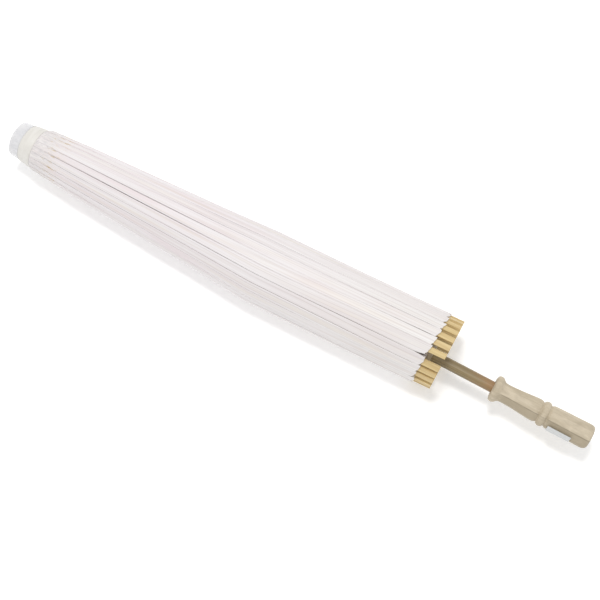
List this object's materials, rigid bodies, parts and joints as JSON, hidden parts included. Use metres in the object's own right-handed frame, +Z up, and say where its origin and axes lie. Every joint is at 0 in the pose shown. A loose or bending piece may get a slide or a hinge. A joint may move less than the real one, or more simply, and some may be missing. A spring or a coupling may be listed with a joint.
{
  "type": "oil paper umbrella",
  "caption": "Closed oil paper umbrella with a bamboo shaft, turned wooden handle, folding ribs and stretchers, a pleated paper canopy, a crown band and an end cap.",
  "frame": {"origin": "middle of the bottom of the closed umbrella's box, as it lies on a table", "axes": "+X along the shaft from the end cap to the handle, +Y across it, +Z up"},
  "size_m": [0.5624, 0.0714, 0.066],
  "materials": {
    "dark_bamboo": "satin, olive brown with long streaks",
    "pale_wood": "smooth, unvarnished",
    "bamboo": "split bamboo, satin",
    "oiled_paper": "oiled, softly shiny",
    "band_paper": "matt, slightly creased",
    "clear_plastic": "cloudy clear",
    "label_paper": "blank",
    "steel_wire": "bare wire"
  },
  "bodies": {
    "root": {"shaft": "dark_bamboo", "handle": "pale_wood", "label": "label_paper", "top_notch": "pale_wood", "notch_tie_wire": "steel_wire", "cap": "clear_plastic", "crown_band": "band_paper", "stop_pin": "bamboo", "canopy": "oiled_paper"},
    "rib_01": {"rib_01": "bamboo"},
    "rib_02": {"rib_02": "bamboo"},
    "rib_03": {"rib_03": "bamboo"},
    "rib_04": {"rib_04": "bamboo"},
    "rib_05": {"rib_05": "bamboo"},
    "rib_06": {"rib_06": "bamboo"},
    "rib_07": {"rib_07": "bamboo"},
    "rib_08": {"rib_08": "bamboo"},
    "rib_09": {"rib_09": "bamboo"},
    "rib_10": {"rib_10": "bamboo"},
    "rib_11": {"rib_11": "bamboo"},
    "rib_12": {"rib_12": "bamboo"},
    "rib_13": {"rib_13": "bamboo"},
    "rib_14": {"rib_14": "bamboo"},
    "rib_15": {"rib_15": "bamboo"},
    "rib_16": {"rib_16": "bamboo"},
    "rib_17": {"rib_17": "bamboo"},
    "rib_18": {"rib_18": "bamboo"},
    "rib_19": {"rib_19": "bamboo"},
    "rib_20": {"rib_20": "bamboo"},
    "rib_21": {"rib_21": "bamboo"},
    "rib_22": {"rib_22": "bamboo"},
    "rib_23": {"rib_23": "bamboo"},
    "rib_24": {"rib_24": "bamboo"},
    "stretcher_01": {"stretcher_01": "bamboo"},
    "stretcher_02": {"stretcher_02": "bamboo"},
    "stretcher_03": {"stretcher_03": "bamboo"},
    "stretcher_04": {"stretcher_04": "bamboo"},
    "stretcher_05": {"stretcher_05": "bamboo"},
    "stretcher_06": {"stretcher_06": "bamboo"},
    "stretcher_07": {"stretcher_07": "bamboo"},
    "stretcher_08": {"stretcher_08": "bamboo"},
    "stretcher_09": {"stretcher_09": "bamboo"},
    "stretcher_10": {"stretcher_10": "bamboo"},
    "stretcher_11": {"stretcher_11": "bamboo"},
    "stretcher_12": {"stretcher_12": "bamboo"},
    "stretcher_13": {"stretcher_13": "bamboo"},
    "stretcher_14": {"stretcher_14": "bamboo"},
    "stretcher_15": {"stretcher_15": "bamboo"},
    "stretcher_16": {"stretcher_16": "bamboo"},
    "stretcher_17": {"stretcher_17": "bamboo"},
    "stretcher_18": {"stretcher_18": "bamboo"},
    "stretcher_19": {"stretcher_19": "bamboo"},
    "stretcher_20": {"stretcher_20": "bamboo"},
    "stretcher_21": {"stretcher_21": "bamboo"},
    "stretcher_22": {"stretcher_22": "bamboo"},
    "stretcher_23": {"stretcher_23": "bamboo"},
    "stretcher_24": {"stretcher_24": "bamboo"},
    "runner": {"runner": "pale_wood", "runner_tie_wire": "steel_wire"},
    "latch": {"latch_spring": "bamboo"}
  },
  "joints": [
    {"name": "canopy_fold", "type": "hinge", "parent": "root", "child": "rib_01", "pos_m": [-0.25125, -0.00446, 0.04531], "axis": [0, -0.9914, -0.1305], "range_deg": [0, 68], "deforming": ["canopy", "latch_spring"]},
    {"name": "stretcher_01_pin", "type": "hinge", "parent": "rib_01", "child": "stretcher_01", "pos_m": [-0.06682, -0.00635, 0.05969], "axis": [0, -0.9914, -0.1305], "range_deg": [-136, 0]},
    {"name": "rib_02_hinge", "type": "hinge", "parent": "root", "child": "rib_02", "pos_m": [-0.25125, -0.00761, 0.04446], "axis": [0, -0.9239, -0.3827], "range_deg": [0, 68]},
    {"name": "stretcher_02_pin", "type": "hinge", "parent": "rib_02", "child": "stretcher_02", "pos_m": [-0.06682, -0.01316, 0.05786], "axis": [0, -0.9239, -0.3827], "range_deg": [-136, 0]},
    {"name": "rib_03_hinge", "type": "hinge", "parent": "root", "child": "rib_03", "pos_m": [-0.25125, -0.01043, 0.04283], "axis": [0, -0.7934, -0.6088], "range_deg": [0, 68]},
    {"name": "stretcher_03_pin", "type": "hinge", "parent": "rib_03", "child": "stretcher_03", "pos_m": [-0.06682, -0.01926, 0.05434], "axis": [0, -0.7934, -0.6088], "range_deg": [-136, 0]},
    {"name": "rib_04_hinge", "type": "hinge", "parent": "root", "child": "rib_04", "pos_m": [-0.25125, -0.01274, 0.04053], "axis": [0, -0.6088, -0.7934], "range_deg": [0, 68]},
    {"name": "stretcher_04_pin", "type": "hinge", "parent": "rib_04", "child": "stretcher_04", "pos_m": [-0.06682, -0.02425, 0.04935], "axis": [0, -0.6088, -0.7934], "range_deg": [-136, 0]},
    {"name": "rib_05_hinge", "type": "hinge", "parent": "root", "child": "rib_05", "pos_m": [-0.25125, -0.01437, 0.0377], "axis": [0, -0.3827, -0.9239], "range_deg": [0, 68]},
    {"name": "stretcher_05_pin", "type": "hinge", "parent": "rib_05", "child": "stretcher_05", "pos_m": [-0.06682, -0.02777, 0.04325], "axis": [0, -0.3827, -0.9239], "range_deg": [-136, 0]},
    {"name": "rib_06_hinge", "type": "hinge", "parent": "root", "child": "rib_06", "pos_m": [-0.25125, -0.01522, 0.03455], "axis": [0, -0.1305, -0.9914], "range_deg": [0, 68]},
    {"name": "stretcher_06_pin", "type": "hinge", "parent": "rib_06", "child": "stretcher_06", "pos_m": [-0.06682, -0.02959, 0.03644], "axis": [0, -0.1305, -0.9914], "range_deg": [-136, 0]},
    {"name": "rib_07_hinge", "type": "hinge", "parent": "root", "child": "rib_07", "pos_m": [-0.25125, -0.01522, 0.03128], "axis": [0, 0.1305, -0.9914], "range_deg": [0, 68]},
    {"name": "stretcher_07_pin", "type": "hinge", "parent": "rib_07", "child": "stretcher_07", "pos_m": [-0.06682, -0.02959, 0.02939], "axis": [0, 0.1305, -0.9914], "range_deg": [-136, 0]},
    {"name": "rib_08_hinge", "type": "hinge", "parent": "root", "child": "rib_08", "pos_m": [-0.25125, -0.01437, 0.02813], "axis": [0, 0.3827, -0.9239], "range_deg": [0, 68]},
    {"name": "stretcher_08_pin", "type": "hinge", "parent": "rib_08", "child": "stretcher_08", "pos_m": [-0.06682, -0.02777, 0.02258], "axis": [0, 0.3827, -0.9239], "range_deg": [-136, 0]},
    {"name": "rib_09_hinge", "type": "hinge", "parent": "root", "child": "rib_09", "pos_m": [-0.25125, -0.01274, 0.02531], "axis": [0, 0.6088, -0.7934], "range_deg": [0, 68]},
    {"name": "stretcher_09_pin", "type": "hinge", "parent": "rib_09", "child": "stretcher_09", "pos_m": [-0.06682, -0.02425, 0.01648], "axis": [0, 0.6088, -0.7934], "range_deg": [-136, 0]},
    {"name": "rib_10_hinge", "type": "hinge", "parent": "root", "child": "rib_10", "pos_m": [-0.25125, -0.01043, 0.023], "axis": [0, 0.7934, -0.6088], "range_deg": [0, 68]},
    {"name": "stretcher_10_pin", "type": "hinge", "parent": "rib_10", "child": "stretcher_10", "pos_m": [-0.06682, -0.01926, 0.0115], "axis": [0, 0.7934, -0.6088], "range_deg": [-136, 0]},
    {"name": "rib_11_hinge", "type": "hinge", "parent": "root", "child": "rib_11", "pos_m": [-0.25125, -0.00761, 0.02137], "axis": [0, 0.9239, -0.3827], "range_deg": [0, 68]},
    {"name": "stretcher_11_pin", "type": "hinge", "parent": "rib_11", "child": "stretcher_11", "pos_m": [-0.06682, -0.01316, 0.00797], "axis": [0, 0.9239, -0.3827], "range_deg": [-136, 0]},
    {"name": "rib_12_hinge", "type": "hinge", "parent": "root", "child": "rib_12", "pos_m": [-0.25125, -0.00446, 0.02052], "axis": [0, 0.9914, -0.1305], "range_deg": [0, 68]},
    {"name": "stretcher_12_pin", "type": "hinge", "parent": "rib_12", "child": "stretcher_12", "pos_m": [-0.06682, -0.00635, 0.00615], "axis": [0, 0.9914, -0.1305], "range_deg": [-136, 0]},
    {"name": "rib_13_hinge", "type": "hinge", "parent": "root", "child": "rib_13", "pos_m": [-0.25125, -0.00119, 0.02052], "axis": [0, 0.9914, 0.1305], "range_deg": [0, 68]},
    {"name": "stretcher_13_pin", "type": "hinge", "parent": "rib_13", "child": "stretcher_13", "pos_m": [-0.06682, 0.0007, 0.00615], "axis": [0, 0.9914, 0.1305], "range_deg": [-136, 0]},
    {"name": "rib_14_hinge", "type": "hinge", "parent": "root", "child": "rib_14", "pos_m": [-0.25125, 0.00196, 0.02137], "axis": [0, 0.9239, 0.3827], "range_deg": [0, 68]},
    {"name": "stretcher_14_pin", "type": "hinge", "parent": "rib_14", "child": "stretcher_14", "pos_m": [-0.06682, 0.00751, 0.00797], "axis": [0, 0.9239, 0.3827], "range_deg": [-136, 0]},
    {"name": "rib_15_hinge", "type": "hinge", "parent": "root", "child": "rib_15", "pos_m": [-0.25125, 0.00478, 0.023], "axis": [0, 0.7934, 0.6088], "range_deg": [0, 68]},
    {"name": "stretcher_15_pin", "type": "hinge", "parent": "rib_15", "child": "stretcher_15", "pos_m": [-0.06682, 0.01361, 0.0115], "axis": [0, 0.7934, 0.6088], "range_deg": [-136, 0]},
    {"name": "rib_16_hinge", "type": "hinge", "parent": "root", "child": "rib_16", "pos_m": [-0.25125, 0.00709, 0.02531], "axis": [0, 0.6088, 0.7934], "range_deg": [0, 68]},
    {"name": "stretcher_16_pin", "type": "hinge", "parent": "rib_16", "child": "stretcher_16", "pos_m": [-0.06682, 0.0186, 0.01648], "axis": [0, 0.6088, 0.7934], "range_deg": [-136, 0]},
    {"name": "rib_17_hinge", "type": "hinge", "parent": "root", "child": "rib_17", "pos_m": [-0.25125, 0.00872, 0.02813], "axis": [0, 0.3827, 0.9239], "range_deg": [0, 68]},
    {"name": "stretcher_17_pin", "type": "hinge", "parent": "rib_17", "child": "stretcher_17", "pos_m": [-0.06682, 0.02212, 0.02258], "axis": [0, 0.3827, 0.9239], "range_deg": [-136, 0]},
    {"name": "rib_18_hinge", "type": "hinge", "parent": "root", "child": "rib_18", "pos_m": [-0.25125, 0.00957, 0.03128], "axis": [0, 0.1305, 0.9914], "range_deg": [0, 68]},
    {"name": "stretcher_18_pin", "type": "hinge", "parent": "rib_18", "child": "stretcher_18", "pos_m": [-0.06682, 0.02394, 0.02939], "axis": [0, 0.1305, 0.9914], "range_deg": [-136, 0]},
    {"name": "rib_19_hinge", "type": "hinge", "parent": "root", "child": "rib_19", "pos_m": [-0.25125, 0.00957, 0.03455], "axis": [0, -0.1305, 0.9914], "range_deg": [0, 68]},
    {"name": "stretcher_19_pin", "type": "hinge", "parent": "rib_19", "child": "stretcher_19", "pos_m": [-0.06682, 0.02394, 0.03644], "axis": [0, -0.1305, 0.9914], "range_deg": [-136, 0]},
    {"name": "rib_20_hinge", "type": "hinge", "parent": "root", "child": "rib_20", "pos_m": [-0.25125, 0.00872, 0.0377], "axis": [0, -0.3827, 0.9239], "range_deg": [0, 68]},
    {"name": "stretcher_20_pin", "type": "hinge", "parent": "rib_20", "child": "stretcher_20", "pos_m": [-0.06682, 0.02212, 0.04325], "axis": [0, -0.3827, 0.9239], "range_deg": [-136, 0]},
    {"name": "rib_21_hinge", "type": "hinge", "parent": "root", "child": "rib_21", "pos_m": [-0.25125, 0.00709, 0.04053], "axis": [0, -0.6088, 0.7934], "range_deg": [0, 68]},
    {"name": "stretcher_21_pin", "type": "hinge", "parent": "rib_21", "child": "stretcher_21", "pos_m": [-0.06682, 0.0186, 0.04935], "axis": [0, -0.6088, 0.7934], "range_deg": [-136, 0]},
    {"name": "rib_22_hinge", "type": "hinge", "parent": "root", "child": "rib_22", "pos_m": [-0.25125, 0.00478, 0.04283], "axis": [0, -0.7934, 0.6088], "range_deg": [0, 68]},
    {"name": "stretcher_22_pin", "type": "hinge", "parent": "rib_22", "child": "stretcher_22", "pos_m": [-0.06682, 0.01361, 0.05434], "axis": [0, -0.7934, 0.6088], "range_deg": [-136, 0]},
    {"name": "rib_23_hinge", "type": "hinge", "parent": "root", "child": "rib_23", "pos_m": [-0.25125, 0.00196, 0.04446], "axis": [0, -0.9239, 0.3827], "range_deg": [0, 68]},
    {"name": "stretcher_23_pin", "type": "hinge", "parent": "rib_23", "child": "stretcher_23", "pos_m": [-0.06682, 0.00751, 0.05786], "axis": [0, -0.9239, 0.3827], "range_deg": [-136, 0]},
    {"name": "rib_24_hinge", "type": "hinge", "parent": "root", "child": "rib_24", "pos_m": [-0.25125, -0.00119, 0.04531], "axis": [0, -0.9914, 0.1305], "range_deg": [0, 68]},
    {"name": "stretcher_24_pin", "type": "hinge", "parent": "rib_24", "child": "stretcher_24", "pos_m": [-0.06682, 0.0007, 0.05969], "axis": [0, -0.9914, 0.1305], "range_deg": [-136, 0]},
    {"name": "runner_slide_pivot", "type": "hinge", "parent": "stretcher_01", "child": "runner", "pos_m": [0.11761, -0.00446, 0.04531], "axis": [0, -0.9914, -0.1305], "range_deg": [0, 68]},
    {"name": "latch_press", "type": "hinge", "parent": "root", "child": "latch", "pos_m": [-0.08516, -0.00282, 0.03532], "axis": [0, -1, 0], "range_deg": [0, 4], "stiffness_Nm_per_rad": 0.2}
  ],
  "couplings": [
    {"joint": "stretcher_01_pin", "follows": "canopy_fold", "ratio": -2},
    {"joint": "rib_02_hinge", "follows": "canopy_fold", "ratio": 1},
    {"joint": "stretcher_02_pin", "follows": "canopy_fold", "ratio": -2},
    {"joint": "rib_03_hinge", "follows": "canopy_fold", "ratio": 1},
    {"joint": "stretcher_03_pin", "follows": "canopy_fold", "ratio": -2},
    {"joint": "rib_04_hinge", "follows": "canopy_fold", "ratio": 1},
    {"joint": "stretcher_04_pin", "follows": "canopy_fold", "ratio": -2},
    {"joint": "rib_05_hinge", "follows": "canopy_fold", "ratio": 1},
    {"joint": "stretcher_05_pin", "follows": "canopy_fold", "ratio": -2},
    {"joint": "rib_06_hinge", "follows": "canopy_fold", "ratio": 1},
    {"joint": "stretcher_06_pin", "follows": "canopy_fold", "ratio": -2},
    {"joint": "rib_07_hinge", "follows": "canopy_fold", "ratio": 1},
    {"joint": "stretcher_07_pin", "follows": "canopy_fold", "ratio": -2},
    {"joint": "rib_08_hinge", "follows": "canopy_fold", "ratio": 1},
    {"joint": "stretcher_08_pin", "follows": "canopy_fold", "ratio": -2},
    {"joint": "rib_09_hinge", "follows": "canopy_fold", "ratio": 1},
    {"joint": "stretcher_09_pin", "follows": "canopy_fold", "ratio": -2},
    {"joint": "rib_10_hinge", "follows": "canopy_fold", "ratio": 1},
    {"joint": "stretcher_10_pin", "follows": "canopy_fold", "ratio": -2},
    {"joint": "rib_11_hinge", "follows": "canopy_fold", "ratio": 1},
    {"joint": "stretcher_11_pin", "follows": "canopy_fold", "ratio": -2},
    {"joint": "rib_12_hinge", "follows": "canopy_fold", "ratio": 1},
    {"joint": "stretcher_12_pin", "follows": "canopy_fold", "ratio": -2},
    {"joint": "rib_13_hinge", "follows": "canopy_fold", "ratio": 1},
    {"joint": "stretcher_13_pin", "follows": "canopy_fold", "ratio": -2},
    {"joint": "rib_14_hinge", "follows": "canopy_fold", "ratio": 1},
    {"joint": "stretcher_14_pin", "follows": "canopy_fold", "ratio": -2},
    {"joint": "rib_15_hinge", "follows": "canopy_fold", "ratio": 1},
    {"joint": "stretcher_15_pin", "follows": "canopy_fold", "ratio": -2},
    {"joint": "rib_16_hinge", "follows": "canopy_fold", "ratio": 1},
    {"joint": "stretcher_16_pin", "follows": "canopy_fold", "ratio": -2},
    {"joint": "rib_17_hinge", "follows": "canopy_fold", "ratio": 1},
    {"joint": "stretcher_17_pin", "follows": "canopy_fold", "ratio": -2},
    {"joint": "rib_18_hinge", "follows": "canopy_fold", "ratio": 1},
    {"joint": "stretcher_18_pin", "follows": "canopy_fold", "ratio": -2},
    {"joint": "rib_19_hinge", "follows": "canopy_fold", "ratio": 1},
    {"joint": "stretcher_19_pin", "follows": "canopy_fold", "ratio": -2},
    {"joint": "rib_20_hinge", "follows": "canopy_fold", "ratio": 1},
    {"joint": "stretcher_20_pin", "follows": "canopy_fold", "ratio": -2},
    {"joint": "rib_21_hinge", "follows": "canopy_fold", "ratio": 1},
    {"joint": "stretcher_21_pin", "follows": "canopy_fold", "ratio": -2},
    {"joint": "rib_22_hinge", "follows": "canopy_fold", "ratio": 1},
    {"joint": "stretcher_22_pin", "follows": "canopy_fold", "ratio": -2},
    {"joint": "rib_23_hinge", "follows": "canopy_fold", "ratio": 1},
    {"joint": "stretcher_23_pin", "follows": "canopy_fold", "ratio": -2},
    {"joint": "rib_24_hinge", "follows": "canopy_fold", "ratio": 1},
    {"joint": "stretcher_24_pin", "follows": "canopy_fold", "ratio": -2},
    {"joint": "runner_slide_pivot", "follows": "canopy_fold", "ratio": 1}
  ]
}
